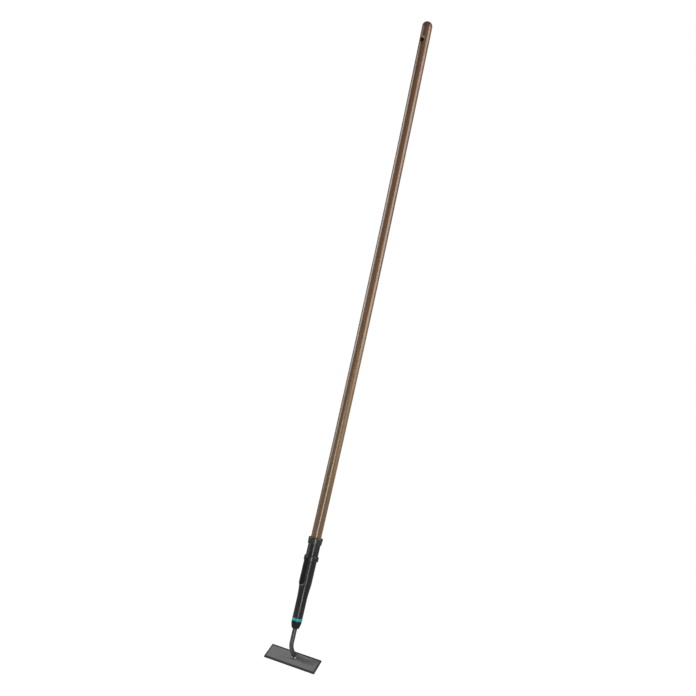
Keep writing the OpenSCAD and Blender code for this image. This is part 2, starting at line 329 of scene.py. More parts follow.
def mark_edges(piece: Piece) -> None:
    """Stores at each vertex how sharply the surface turns outwards, by the slope of its edges.

    Args:
        piece: The finished piece.
    """
    edit = bmesh.new()
    edit.from_mesh(piece.data)
    marks = []
    for vertex in edit.verts:
        spans = [vertex.co - edge.other_vert(vertex).co for edge in vertex.link_edges]
        drop = sum(span.normalized().dot(vertex.normal) for span in spans)
        slope = drop / max(1, len(spans))
        marks.append(held((slope - EDGE_LEAST_SLOPE) / (EDGE_FULL_SLOPE - EDGE_LEAST_SLOPE)))
    edit.free()
    store(piece, Mark.EDGE, "POINT", marks)


def dress(piece: Piece, material: bpy.types.Material) -> None:
    """Gives a piece its finish.

    Args:
        piece: The piece.
        material: The finish.
    """
    piece.data.materials.clear()
    piece.data.materials.append(material)


def seat(piece: Piece, node: str, finish: Finish) -> None:
    """Smooths and dresses a piece, and sets it in a CAD node's place.

    Args:
        piece: The finished mesh.
        node: The CAD node that it stands for.
        finish: Its finish.
    """
    piece.data.shade_smooth()
    piece.data.set_sharp_from_angle(angle=SHARP_ANGLE)
    mark_edges(piece)
    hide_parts(node)
    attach(piece, ROOT_BODY)
    dress(piece, finish.build())
    LOG.info("%s stands for %s: %d faces", piece.name, node, len(piece.data.polygons))


class Sheet:
    """A shader tree, with short ways to add and join its nodes."""

    def __init__(self, tree: bpy.types.NodeTree) -> None:
        """Keeps the tree and empties it."""
        self.tree = tree
        tree.nodes.clear()

    def feed(self, socket: Socket, value: SocketValue) -> None:
        """Links an output to a socket, or sets the socket to a constant.

        Args:
            socket: The input to set.
            value: An output socket, a number, a colour or a place.
        """
        if isinstance(value, Socket):
            self.tree.links.new(value, socket)
        elif socket.type == "RGBA":
            socket.default_value = (*value, 1.0)
        else:
            socket.default_value = value

    def add(self, kind: str, inputs: dict[str | int, SocketValue] | None = None,
            **settings: object) -> bpy.types.Node:
        """Adds a node.

        Args:
            kind: Blender's name of the node's type.
            inputs: Input name or number to an output socket or a constant.
            settings: Properties of the node.

        Returns:
            The node.
        """
        node = self.tree.nodes.new(kind)
        for name, value in settings.items():
            setattr(node, name, value)
        for name, value in (inputs or {}).items():
            self.feed(node.inputs[name], value)
        return node

    def place(self) -> Socket:
        """Coordinates of the piece."""
        return self.add("ShaderNodeTexCoord").outputs["Object"]

    def mark(self, mark: Mark, output: str = "Fac") -> Socket:
        """A value that the mesh carries."""
        return self.add("ShaderNodeAttribute", attribute_name=mark.value).outputs[output]

    def math(self, operation: str, first: SocketValue, second: SocketValue) -> Socket:
        """Result of an operation on two values, held between 0 and 1."""
        node = self.add("ShaderNodeMath", {0: first, 1: second}, operation=operation, use_clamp=True)
        return node.outputs[0]

    def span(self, value: Socket, low: SocketValue, high: SocketValue, to_low: float = 0.0,
             to_high: float = 1.0) -> Socket:
        """Carries a range of a value onto another range, and holds it there."""
        node = self.add("ShaderNodeMapRange", {
            "Value": value, "From Min": low, "From Max": high, "To Min": to_low, "To Max": to_high})
        return node.outputs["Result"]

    def scaled(self, mask: Socket, low: float, high: float) -> Socket:
        """Carries a mask onto a range."""
        return self.span(mask, 0.0, 1.0, low, high)

    def blend(self, factor: Socket, first: SocketValue, second: SocketValue, mode: str = "MIX") -> Socket:
        """Mixes two colours.

        Args:
            factor: Share of the second colour.
            first: Colour at 0.
            second: Colour at 1.
            mode: Blender's name of the way to mix them.

        Returns:
            The mixed colour.
        """
        # Inputs 6 and 7 of the node are its colours, and output 2 is the mixed one.
        node = self.add("ShaderNodeMix", data_type="RGBA", blend_type=mode)
        for number, value in ((0, factor), (6, first), (7, second)):
            self.feed(node.inputs[number], value)
        return node.outputs[2]

    def mix(self, factor: Socket, first: Socket, second: Socket) -> Socket:
        """Mixes two values, which are inputs 2 and 3 of the node."""
        return self.add("ShaderNodeMix", {0: factor, 2: first, 3: second}).outputs[0]

    def noise(self, vector: Socket, scale: SocketValue, **inputs: float) -> Socket:
        """Noise with its detail, roughness and distortion."""
        given = {name.capitalize(): value for name, value in inputs.items()}
        return self.add("ShaderNodeTexNoise", {"Vector": vector, "Scale": scale, **given}).outputs["Fac"]

    def bump(self, height: Socket, strength: float, depth: float) -> Socket:
        """Normal of a surface with fine relief."""
        node = self.add("ShaderNodeBump", {"Height": height, "Strength": strength, "Distance": depth})
        return node.outputs["Normal"]

    def effect(self, effect: Effect, vector: Socket, *values: float) -> Socket:
        """Places a shared effect with coordinates and its other inputs in order, and gives its output."""
        inputs = dict(enumerate((vector, *values)))
        return self.add("ShaderNodeGroup", inputs, node_tree=bpy.data.node_groups[effect.value]).outputs[0]


class Effects:
    """Effects that several finishes share, each a node group that is built once."""

    def build(self) -> None:
        """Builds the groups."""
        for effect in (self.fine_skin, self.long_streaks, self.handling_marks, self.edge_wear):
            effect()

    @staticmethod
    def start(effect: Effect, values: Sequence[str], result: str) -> tuple[Sheet, list[Socket], Socket]:
        """Opens a node group.

        Args:
            effect: Which effect it is.
            values: Names of the inputs that follow the coordinates.
            result: Name of the output, which is a value.

        Returns:
            The sheet, the coordinates and other inputs in order, and the socket that takes the result.
        """
        tree = bpy.data.node_groups.new(effect.value, "ShaderNodeTree")
        tree.interface.new_socket("Vector", in_out="INPUT", socket_type="NodeSocketVector")
        for name in values:
            tree.interface.new_socket(name, in_out="INPUT", socket_type="NodeSocketFloat")
        tree.interface.new_socket(result, in_out="OUTPUT", socket_type="NodeSocketFloat")
        sheet = Sheet(tree)
        given = sheet.add("NodeGroupInput")
        names = ("Vector", *values)
        return sheet, [given.outputs[name] for name in names], sheet.add("NodeGroupOutput").inputs[result]

    def fine_skin(self) -> None:
        """Fine bumps of a moulded or coated skin."""
        sheet, (vector, bumps), height = self.start(Effect.SKIN, ["Bumps per metre"], "Height")
        fine = sheet.noise(vector, bumps, detail=2.0, roughness=0.6)
        cells = sheet.add("ShaderNodeTexVoronoi", {"Vector": vector, "Scale": bumps}, feature="SMOOTH_F1")
        sheet.feed(height, sheet.math("MULTIPLY", fine, cells.outputs["Distance"]))

    def long_streaks(self) -> None:
        """Streaks that run along Z, as in wood fibre and drawn or ground steel."""
        sheet, (vector, across, along, low, high), mask = self.start(
            Effect.STREAKS, ["Across", "Along", "Low", "High"], "Mask")
        scale = sheet.add("ShaderNodeCombineXYZ", {"X": across, "Y": across, "Z": along})
        stretched = sheet.add("ShaderNodeVectorMath", {
            0: vector, 1: scale.outputs["Vector"]}, operation="MULTIPLY")
        noise = sheet.noise(stretched.outputs["Vector"], 1.0, detail=3.0, distortion=0.25)
        sheet.feed(mask, sheet.span(noise, low, high))

    def handling_marks(self) -> None:
        """Cloudy marks that hands and storage leave on a surface."""
        sheet, (vector, marks), mask = self.start(Effect.MARKS, ["Marks per metre"], "Mask")
        cloud = sheet.noise(vector, marks, detail=5.0, roughness=0.62, distortion=0.4)
        sheet.feed(mask, sheet.span(cloud, low=0.32, high=0.7))

    def edge_wear(self) -> None:
        """Rubbed stretches along the edges that the mesh marks."""
        sheet, (vector, breaks), mask = self.start(Effect.WEAR, ["Breaks per metre"], "Mask")
        wear_and_highlight = sheet.span(sheet.noise(vector, breaks, detail=4.0), low=0.3, high=0.62)
        sheet.feed(mask, sheet.math("MULTIPLY", sheet.mark(Mark.EDGE), wear_and_highlight))


class Finish:
    """A finish, which is built as a material with one Principled BSDF."""

    name: str

    def build(self) -> bpy.types.Material:
        """Builds the material.

        Returns:
            The material.
        """
        material = bpy.data.materials.new(self.name)
        material.use_nodes = True
        sheet = Sheet(material.node_tree)
        shader = sheet.add("ShaderNodeBsdfPrincipled", self.surface(sheet))
        sheet.add("ShaderNodeOutputMaterial", {"Surface": shader.outputs["BSDF"]})
        return material

    def surface(self, sheet: Sheet) -> Surface:
        """Draws the finish and gives the inputs of its shader."""
        raise NotImplementedError


@dataclass(frozen=True)
class AshFinish(Finish):
    """Brown stained ash with a satin lacquer, redder towards the butt and paler towards the sleeve."""

    name: str = "stained_ash"
    heart: Colour = (0.265, 0.132, 0.063)
    sap: Colour = (0.372, 0.245, 0.126)
    sap_z: float = -1.05
    heart_z: float = -0.4
    drift_share: float = 0.8
    cloud_share: float = 0.2
    clouds_per_metre: float = 6.0
    bands: Streaks = Streaks(170.0, 1.7, 0.36, 0.64)
    band_tint: Colour = (0.62, 0.56, 0.52)
    fibres: Streaks = Streaks(1100.0, 11.0, 0.3, 0.72)
    fibre_tint: Colour = (0.66, 0.62, 0.60)
    pores: Streaks = Streaks(2600.0, 70.0, 0.56, 0.68)
    pore_tint: Colour = (0.42, 0.36, 0.32)
    rim_breaks_per_metre: float = 160.0
    rim_tint: Colour = (0.36, 0.28, 0.22)
    # Painted shade: the top of the dome is darker, as it faces away from the lamps.
    dome_top_shade_tint: Colour = (0.40, 0.34, 0.30)
    end_low_z: float = 42.5 * MM
    end_high_z: float = 46.5 * MM
    # Painted shade: the lower end of the handle darkens towards the collar.
    collar_side_shade_tint: Colour = (0.82, 0.79, 0.82)
    foot_low_z: float = -1.2
    foot_high_z: float = -1.06
    bore_colour: Colour = (0.270, 0.090, 0.034)
    bore_roughness: float = 0.8
    # A darker patch in the wood just below the hanging hole.
    below_hole_tint: Colour = (0.46, 0.38, 0.32)
    below_hole_place: Place = (0.0, -12.5 * MM, -8.5 * MM)
    below_hole_reach: float = 6 * MM
    # Painted highlight: a pale spot on the upper rim of the hanging hole, where its flare would catch the
    # light.
    wear_and_highlight: Colour = (0.520, 0.400, 0.300)
    hole_highlight_place: Place = (3.6 * MM, -11.8 * MM, 6.0 * MM)
    hole_highlight_reach: float = 3.4 * MM
    roughness: float = 0.23
    rough_spread: float = 0.06
    lacquer: float = 0.7
    lacquer_roughness: float = 0.15
    fibre_depth_share: float = 0.4
    bump_strength: float = 0.2
    bump_depth: float = 0.12 * MM

    def surface(self, sheet: Sheet) -> Surface:
        """Draws the wood.

        Args:
            sheet: The material's sheet.

        Returns:
            The inputs of its shader.
        """
        grain = sheet.mark(Mark.GRAIN, "Vector")
        height = sheet.add("ShaderNodeSeparateXYZ", {"Vector": grain}).outputs["Z"]
        bands, fibres, pores = (
            sheet.effect(Effect.STREAKS, grain, *values) for values in (self.bands, self.fibres, self.pores))
        clouds = sheet.effect(Effect.MARKS, grain, self.clouds_per_metre)
        drift = sheet.span(height, self.sap_z, self.heart_z, 0, self.drift_share)
        heart = sheet.math("ADD", drift, sheet.scaled(clouds, 0, self.cloud_share))
        colour = sheet.blend(heart, self.sap, self.heart)
        for mask, tint in (
                (bands, self.band_tint),
                (fibres, self.fibre_tint),
                (pores, self.pore_tint),
                (sheet.effect(Effect.WEAR, grain, self.rim_breaks_per_metre), self.rim_tint),
                (sheet.span(height, self.end_low_z, self.end_high_z), self.dome_top_shade_tint),
                (sheet.span(height, self.foot_high_z, self.foot_low_z), self.collar_side_shade_tint)):
            colour = sheet.blend(mask, colour, tint, "MULTIPLY")
        bore = sheet.mark(Mark.BORE)
        bored = sheet.blend(fibres, self.bore_colour, self.band_tint, "MULTIPLY")
        colour = sheet.blend(bore, colour, bored)
        below_hole = self.spot(sheet, grain, self.below_hole_place, self.below_hole_reach)
        colour = sheet.blend(below_hole, colour, self.below_hole_tint, "MULTIPLY")
        # Paints the highlight on the upper rim of the hanging hole.
        hole_highlight = self.spot(sheet, grain, self.hole_highlight_place, self.hole_highlight_reach)
        colour = sheet.blend(hole_highlight, colour, self.wear_and_highlight)
        sunk = sheet.math("MAXIMUM", sheet.scaled(fibres, 0, self.fibre_depth_share), pores)
        relief = sheet.math("SUBTRACT", 1.0, sunk)
        dull = sheet.math("MAXIMUM", pores, clouds)
        satin = sheet.scaled(dull, self.roughness, self.roughness + self.rough_spread)
        return {
            "Base Color": colour,
            "Roughness": sheet.math("MAXIMUM", satin, sheet.scaled(bore, 0, self.bore_roughness)),
            "Normal": sheet.bump(relief, self.bump_strength, self.bump_depth),
            "Coat Weight": sheet.scaled(bore, self.lacquer, 0),
            "Coat Roughness": self.lacquer_roughness}

    @staticmethod
    def spot(sheet: Sheet, grain: Socket, place: Place, reach: float) -> Socket:
        """Soft round spot: 1 within half of its reach, and 0 beyond it."""
        away = sheet.add("ShaderNodeVectorMath", {0: grain, 1: place}, operation="DISTANCE")
        return sheet.span(away.outputs["Value"], reach, reach / 2)


@dataclass(frozen=True)
class MouldedFinish(Finish):
    """Moulded plastic with a fine skin, cloudy handling marks and paler edges that are worn; on the collar
    they are also a painted highlight.
    """

    name: str
    body: Colour
    handled: Colour
    wear_and_highlight: Colour
    roughness: float = 0.2
    rough_spread: float = 0.05
    specular: float = 0.5
    clouds_per_metre: float = 34.0
    breaks_per_metre: float = 240.0
    rub_share: float = 0.7
    bumps_per_metre: float = 2600.0
    bump_strength: float = 0.12
    bump_depth: float = 0.03 * MM

    def surface(self, sheet: Sheet) -> Surface:
        """Draws the plastic.

        Args:
            sheet: The material's sheet.

        Returns:
            The inputs of its shader.
        """
        place = sheet.place()
        clouds = sheet.effect(Effect.MARKS, place, self.clouds_per_metre)
        wear = sheet.effect(Effect.WEAR, place, self.breaks_per_metre)
        skin = sheet.effect(Effect.SKIN, place, self.bumps_per_metre)
        handled = sheet.blend(clouds, self.body, self.handled)
        return {
            "Base Color": sheet.blend(sheet.scaled(wear, 0, self.rub_share), handled, self.wear_and_highlight),
            "Roughness": sheet.scaled(clouds, self.roughness, self.roughness + self.rough_spread),
            "Normal": sheet.bump(skin, self.bump_strength, self.bump_depth),
            "Specular IOR Level": self.specular}


@dataclass(frozen=True)
class CoatedSteelFinish(Finish):
    """Dark grey coated steel: fine orange peel, cloudy tone, edges in their own colour, a painted dark
    border of shade on the blade, and a painted dark reflection where it is ground.
    """

    name: str
    body: Colour
    clouded: Colour
    edge: Colour
    roughness: float = 0.42
    specular: float = 0.4
    rough_spread: float = 0.12
    clouds_per_metre: float = 46.0
    edge_share: float = 0.95
    rim_breaks: float = 0.08
    breaks_per_metre: float = 420.0
    rub_least: float = 0.8
    rub_share: float = 0.3
    # Painted dark reflection: ground faces take near-black colours for the dark surroundings that bare
    # ground steel mirrors.
    ground: Colour = (0.020, 0.020, 0.021)
    ground_dull: Colour = (0.012, 0.012, 0.013)
    ground_roughness: float = 0.5
    scratches: Streaks = Streaks(2400.0, 120.0, 0.35, 0.65)
    bumps_per_metre: float = 1300.0
    bump_strength: float = 0.4
    bump_depth: float = 0.06 * MM

    def surface(self, sheet: Sheet) -> Surface:
        """Draws the coated steel.

        Args:
            sheet: The material's sheet.

        Returns:
            The inputs of its shader.
        """
        place = sheet.place()
        clouds = sheet.effect(Effect.MARKS, place, self.clouds_per_metre)
        wear = sheet.effect(Effect.WEAR, place, self.breaks_per_metre)
        peel = sheet.effect(Effect.SKIN, place, self.bumps_per_metre)
        scratches = sheet.effect(Effect.STREAKS, place, *self.scratches)
        ground = sheet.mark(Mark.GROUND)
        colour = sheet.blend(clouds, self.body, self.clouded)
        # On the blade this is painted shade: the marked border and edges blend towards the edge colour.
        patchy = sheet.math("SUBTRACT", sheet.mark(Mark.RIM), sheet.scaled(clouds, 0, self.rim_breaks))
        border = sheet.math("MAXIMUM", sheet.mark(Mark.EDGE), patchy)
        colour = sheet.blend(sheet.scaled(border, 0, self.edge_share), colour, self.edge)
        colour = sheet.blend(sheet.span(wear, self.rub_least, 1, 0, self.rub_share), colour, self.body)
        coat_rough = sheet.scaled(clouds, self.roughness, self.roughness + self.rough_spread)
        ground_rough = sheet.scaled(
            scratches, self.ground_roughness, self.ground_roughness + self.rough_spread)
        return {
            # Ground faces: painted dark reflection of bare steel.
            "Base Color": sheet.blend(
                ground, colour, sheet.blend(scratches, self.ground, self.ground_dull)),
            "Roughness": sheet.mix(ground, coat_rough, ground_rough),
            "Normal": sheet.bump(peel, self.bump_strength, self.bump_depth),
            "Specular IOR Level": self.specular}


@dataclass(frozen=True)
class PlatedSteelFinish(Finish):
    """Zinc plated steel with drawn streaks."""

    name: str = "zinc_plate"
    bright: Colour = (0.56, 0.57, 0.58)
    dull: Colour = (0.36, 0.37, 0.38)
    roughness: float = 0.32
    rough_spread: float = 0.2
    drawn: Streaks = Streaks(2200.0, 160.0, 0.3, 0.7)
    clouds_per_metre: float = 300.0

    def surface(self, sheet: Sheet) -> Surface:
        """Draws the plated steel.

        Args:
            sheet: The material's sheet.

        Returns:
            The inputs of its shader.
        """
        place = sheet.place()
        drawn = sheet.effect(Effect.STREAKS, place, *self.drawn)
        clouds = sheet.effect(Effect.MARKS, place, self.clouds_per_metre)
        return {
            "Base Color": sheet.blend(sheet.math("MAXIMUM", drawn, clouds), self.bright, self.dull),
            "Roughness": sheet.scaled(drawn, self.roughness, self.roughness + self.rough_spread),
            "Metallic": 1.0}


@dataclass
class HandleSet:
    """The bowed ash handle, which is slightly out of round by a slow wave and a quick one."""

    waist_r: float = 12.65 * MM
    butt_r: float = 12.8 * MM
    tenon_r: float = 12.5 * MM
    lead_in: float = 1.5 * MM
    dome: float = 13 * MM
    lean: float = 30.5 * MM
    hole_r: float = 5.5 * MM
    hole_ease: float = 1.3 * MM
    hole_overrun: float = 6 * MM
    hole_sides: int = 64
    flare_steps: int = 8
    out_of_round: float = 0.09 * MM
    slow_lobes: int = 2
    slow_wave: float = 9.0
    quick_lobes: int = 3
    quick_wave: float = 23.0
    quick_share: float = 0.6
    quick_start: float = 1.0
    wave_fade: float = 0.125
    waist_share: float = 0.72
    sides: int = 72
    rings: int = 190
    dome_rings: int = 16
    finish: AshFinish = AshFinish()

    def __post_init__(self) -> None:
        """Reads the handle's place from the frame."""
        box = NodeBox.of("handle")
        sleeve = NodeBox.of("sleeve")
        self.axis_y = sleeve.axis_y
        self.root_r = box.half_width
        self.foot_z = box.low.z
        self.mouth_z = sleeve.high.z
        self.butt_z = box.high.z
        self.length = self.butt_z - self.mouth_z

    def middle(self, z: float) -> Vector:
        """Middle of the bowed handle at a height."""
        share = max(0.0, (z - self.mouth_z) / self.length)
        return Vector((0, self.axis_y - self.lean * share * share, z))

    def radius(self, z: float) -> float:
        """Radius of the shaft at a height, before the dome.

        Args:
            z: Height.

        Returns:
            The radius.
        """
        share = (z - self.mouth_z) / self.length
        if share < self.waist_share:
            return self.root_r + (self.waist_r - self.root_r) * ease(share / self.waist_share)
        rise = (share - self.waist_share) / (1 - self.waist_share)
        return self.waist_r + (self.butt_r - self.waist_r) * ease(rise)

    def ring(self, z: float, radius: float, uneven: float = 0.0) -> Ring:
        """Ring of points round the handle.

        Args:
            z: Height.
            radius: Mean radius.
            uneven: How far the wood departs from a true circle.

        Returns:
            The ring.
        """
        points = []
        for i in range(self.sides):
            angle = 2 * math.pi * i / self.sides
            slow = math.sin(self.slow_lobes * angle + self.slow_wave * z)
            quick = math.sin(self.quick_lobes * angle - self.quick_wave * z + self.quick_start)
            local = radius + uneven * (slow + self.quick_share * quick)
            points.append(self.middle(z) + local * Vector((math.cos(angle), math.sin(angle), 0)))
        return points

    def build(self) -> None:
        """Builds and dresses the handle."""
        dome_z = self.butt_z - self.dome
        base_r = self.radius(dome_z)
        rings = [
            self.ring(self.foot_z, self.tenon_r - self.lead_in),
            self.ring(self.foot_z + self.lead_in, self.tenon_r),
            self.ring(self.mouth_z, self.tenon_r)]
        for i in range(self.rings + 1):
            share = i / self.rings
            z = self.mouth_z + (dome_z - self.mouth_z) * share
            fade = min(1.0, share / self.wave_fade, (1 - share) / self.wave_fade)
            rings.append(self.ring(z, self.radius(z), self.out_of_round * fade))
        for i in range(1, self.dome_rings):
            turn = math.pi / 2 * i / self.dome_rings
            rings.append(self.ring(dome_z + self.dome * math.sin(turn), base_r * math.cos(turn)))
        rings.append([self.middle(self.butt_z)])
        handle = loft("handle_ash", rings)
        combine(handle, self.hole_cutter(), Cut.REMOVE)
        self.mark_wood(handle)
        seat(handle, "handle", self.finish)

    def hole_cutter(self) -> Piece:
        """Solid of the hanging hole, flared at both ends.

        Returns:
            The cutter.
        """
        face = self.radius(0)
        flare = [(self.hole_r + wider, face - short)
                 for wider, short in quarter_round(self.hole_ease, self.flare_steps)]
        outline = [(flare[-1][0], face + self.hole_overrun), *reversed(flare)]
        outline += [(r, -y) for r, y in reversed(outline)]
        return loft("hole_cutter", [circle(y * BACKWARD, UPWARD, r, self.hole_sides) for r, y in outline])

    def mark_wood(self, handle: Piece) -> None:
        """Stores coordinates that follow the bow, and marks the raw wood inside the hanging hole.

        Args:
            handle: The handle.
        """
        reach = self.hole_r + self.hole_ease / 2
        straight = []
        inside = []
        for vertex in handle.data.vertices:
            straight.extend(vertex.co - self.middle(vertex.co.z) + vertex.co.z * UPWARD)
            inside.append(math.hypot(vertex.co.x, vertex.co.z) < reach)
        grain = handle.data.attributes.new(Mark.GRAIN.value, "FLOAT_VECTOR", "POINT")
        grain.data.foreach_set("vector", straight)
        bored = [float(all(inside[i] for i in face.vertices)) for face in handle.data.polygons]
        store(handle, Mark.BORE, "FACE", bored)


@dataclass
class SleeveSet:
    """The moulded sleeve with its collar, cover plate, colour ring, nose cap and hidden fasteners."""

    socket_r: float = 12.65 * MM
    socket_depth: float = 113 * MM
    upper_r: float = 15.65 * MM
    taper_length: float = 40 * MM
    lower_length: float = 49.5 * MM
    taper_curve: float = 1.6
    taper_steps: int = 28
    bead_drop: float = 30.5 * MM
    bead_height: float = 12.4 * MM
    bead_ease: float = 3 * MM
    root_ease: float = 0.8 * MM
    edge_ease: float = 0.5 * MM
    spigot_r: float = 10 * MM
    tang_bore_r: float = 5.8 * MM
    fit_gap: float = 0.1 * MM
    overrun: float = 4 * MM
    tongue_half: float = 9 * MM
    tongue_length: float = 71 * MM
    tongue_front: float = 17.5 * MM
    tongue_root: float = 6 * MM
    tongue_ease: float = 0.6 * MM
    tongue_rim: float = 3.2 * MM
    lip_lift: float = 1.1 * MM
    lip_reach: float = 14 * MM
    recess_ease: float = 0.4 * MM
    plate_ease: float = 0.3 * MM
    screw_head_r: float = 4.3 * MM
    screw_rim: float = 0.3 * MM
    screw_head_h: float = 2.3 * MM
    screw_r: float = 2.2 * MM
    screw_sides: int = 48
    collar_seat_r: float = 15.75 * MM
    collar_lip: float = 4 * MM
    collar_lip_r: float = 13.55 * MM
    collar_flare: float = 0.9 * MM
    collar_ease: float = 3.4 * MM
    collar_foot_ease: float = 1.4 * MM
    ring_bore_r: float = 10.1 * MM
    ring_ease: float = 1.1 * MM
    ring_crown: float = 0.25 * MM
    nose_end_r: float = 9.1 * MM
    nose_ease: float = 1.6 * MM
    nose_steps: int = 18
    spigot_seat: float = 8 * MM
    strip_steps: int = 28
    black: MouldedFinish = MouldedFinish(
        "black_moulding", (0.0120, 0.0123, 0.0128), (0.0155, 0.0158, 0.0164), (0.050, 0.051, 0.052))
    # The collar's pale edges are partly worn plastic and partly a painted highlight, for the top ledge that
    # catches light from above.
    collar_finish: MouldedFinish = MouldedFinish(
        "collar_moulding", (0.0115, 0.0142, 0.0134), (0.0150, 0.0182, 0.0172), (0.130, 0.137, 0.118))
    plate_finish: MouldedFinish = MouldedFinish(
        "plate_moulding", (0.0040, 0.0040, 0.0043), (0.0058, 0.0058, 0.0062), (0.018, 0.018, 0.019),
        specular=0.36, bumps_per_metre=5200.0, bump_depth=0.012 * MM)
    ring_finish: MouldedFinish = MouldedFinish(
        "turquoise_moulding", (0.004, 0.370, 0.410), (0.008, 0.420, 0.460), (0.05, 0.50, 0.54),
        roughness=0.22, specular=0.36)
    # Painted shade: the nose cap is the same black plastic as the sleeve, drawn darker for its sides that
    # face down.
    nose_shaded_finish: MouldedFinish = MouldedFinish(
        "nose_moulding", (0.0050, 0.0053, 0.0056), (0.0070, 0.0074, 0.0078), (0.024, 0.025, 0.026),
        roughness=0.26, specular=0.34)
    fastener: PlatedSteelFinish = PlatedSteelFinish()

    def __post_init__(self) -> None:
        """Works out the heights of the sleeve from the frame."""
        self.sleeve = NodeBox.of("sleeve")
        self.collar = NodeBox.of("collar")
        self.ring = NodeBox.of("colour_ring")
        self.nose = NodeBox.of("nose_cap")
        self.plate = NodeBox.of("cover_plate")
        self.screw = NodeBox.of("handle_screw")
        self.axis_y = self.sleeve.axis_y
        self.lower_r = self.nose.half_width
        self.bead_r = self.sleeve.half_width
        self.taper_z = self.ring.high.z + self.lower_length
        self.bead_top_z = self.collar.low.z - self.bead_drop
        self.bead_z = self.bead_top_z - self.bead_height
        self.bead_mid_z = (self.bead_top_z + self.bead_z) / 2
        self.tongue_z = self.bead_mid_z - self.tongue_length
        self.recess_z = self.tongue_z + self.tongue_rim
        self.recess_half = self.tongue_half - self.tongue_rim
        self.recess_floor = self.axis_y - self.plate.high.y

    def build(self) -> None:
        """Builds and dresses every piece of the sleeve."""
        seat(self.sleeve_moulding(), "sleeve", self.black)
        seat(self.collar_moulding(), "collar", self.collar_finish)
        seat(self.plain_plate(), "cover_plate", self.plate_finish)
        seat(self.ring_moulding(), "colour_ring", self.ring_finish)
        seat(self.nose_moulding(), "nose_cap", self.nose_shaded_finish)
        plated = self.fastener.build()
        for node in ("handle_screw", "tang_pin"):
            dress(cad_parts[node], plated)
            LOG.info("%s keeps its CAD shape", node)

    def sleeve_moulding(self) -> Piece:
        """Sleeve with its bead, raised tongue, recess, socket and bores.

        Returns:
            The piece.
        """
        low_z = self.sleeve.low.z
        top_z = self.sleeve.high.z
        taper = []
        for i in range(self.taper_steps + 1):
            share = 1 - i / self.taper_steps
            r = self.lower_r + (self.upper_r - self.lower_r) * share ** self.taper_curve
            taper.append(Corner(r, self.taper_z + self.taper_length * share))
        sleeve = turned("sleeve_moulding", [
            Corner(0, top_z),
            Corner(self.upper_r, top_z, self.edge_ease),
            Corner(self.upper_r, self.bead_top_z, self.root_ease),
            Corner(self.bead_r, self.bead_top_z, self.bead_ease),
            Corner(self.bead_r, self.bead_z, self.bead_ease),
            Corner(self.upper_r, self.bead_z, self.root_ease),
            *taper,
            Corner(self.lower_r, self.ring.high.z, self.edge_ease),
            Corner(self.spigot_r, self.ring.high.z),
            Corner(self.spigot_r, low_z, self.edge_ease),
            Corner(0, low_z)], self.axis_y)
        combine(sleeve, self.tongue(), Cut.JOIN)
        tang_top_z = NodeBox.of("neck").high.z + self.fit_gap
        for r, bottom, top in (
                (self.socket_r, top_z - self.socket_depth, top_z + self.overrun),
                (self.tang_bore_r, low_z - self.overrun, tang_top_z)):
            corners = [Corner(0, bottom), Corner(r, bottom), Corner(r, top), Corner(0, top)]
            combine(sleeve, turned("bore_cutter", corners, self.axis_y), Cut.REMOVE)
        combine(sleeve, self.recess_cutter(), Cut.REMOVE)
        combine(sleeve, self.screw_cutter(), Cut.REMOVE)
        return sleeve

    def strip(self, half: float, bottom: float, top: float, front: float) -> Ring:
        """Outline of an upright strip with a round foot and a square top.

        Args:
            half: Half of its width.
            bottom: Height of its lowest point.
            top: Height of its top.
            front: How far it lies in front of the axis.

        Returns:
            The ring of points.
        """
        y = self.axis_y - front
        angles = [math.pi * (1 + i / self.strip_steps) for i in range(self.strip_steps + 1)]
        foot = [Vector((half * math.cos(a), y, bottom + half + half * math.sin(a))) for a in angles]
        return [*foot, Vector((half, y, top)), Vector((-half, y, top))]

    def tongue(self) -> Piece:
        """Raised tongue with a rounded rim, whose foot comes forward so that its lip slopes inwards.

        Returns:
            The solid that is joined to the sleeve.
        """
        rings = [self.strip(self.tongue_half, self.tongue_z, self.bead_mid_z, self.tongue_root)]
        for inset, short in quarter_round(self.tongue_ease):
            ring = self.strip(
                self.tongue_half - inset, self.tongue_z + inset, self.bead_mid_z, self.tongue_front - short)
            for point in ring:
                point.y -= self.lip_lift * ease(1 - (point.z - self.tongue_z) / self.lip_reach)
            rings.append(ring)
        rim = self.tongue_rim - self.recess_ease
        rings.append(self.strip(
            self.tongue_half - rim, self.tongue_z + rim, self.bead_mid_z, self.tongue_front))
        return loft("tongue", rings)

    def recess_cutter(self) -> Piece:
        """Cutter of the recess in the tongue, flared where it opens."""
        stations = (
            (0.0, self.recess_floor),
            (0.0, self.tongue_front - self.recess_ease),
            (self.recess_ease, self.tongue_front),
            (self.recess_ease, self.bead_r + self.overrun))
        return loft("recess_cutter", [
            self.strip(self.recess_half + wider, self.recess_z - wider, self.bead_mid_z, front)
            for wider, front in stations])

    def screw_cutter(self) -> Piece:
        """Cutter of the countersunk hole for the screw under the cover plate."""
        stations = (
            (self.screw_head_r, self.screw.low.y - self.fit_gap),
            (self.screw_head_r, self.screw.low.y + self.screw_rim),
            (self.screw_r, self.screw.low.y + self.screw_head_h),
            (self.screw_r, self.axis_y))
        return loft("screw_cutter", [
            circle(Vector((0, y, self.screw.middle_z)), UPWARD, r, self.screw_sides) for r, y in stations])

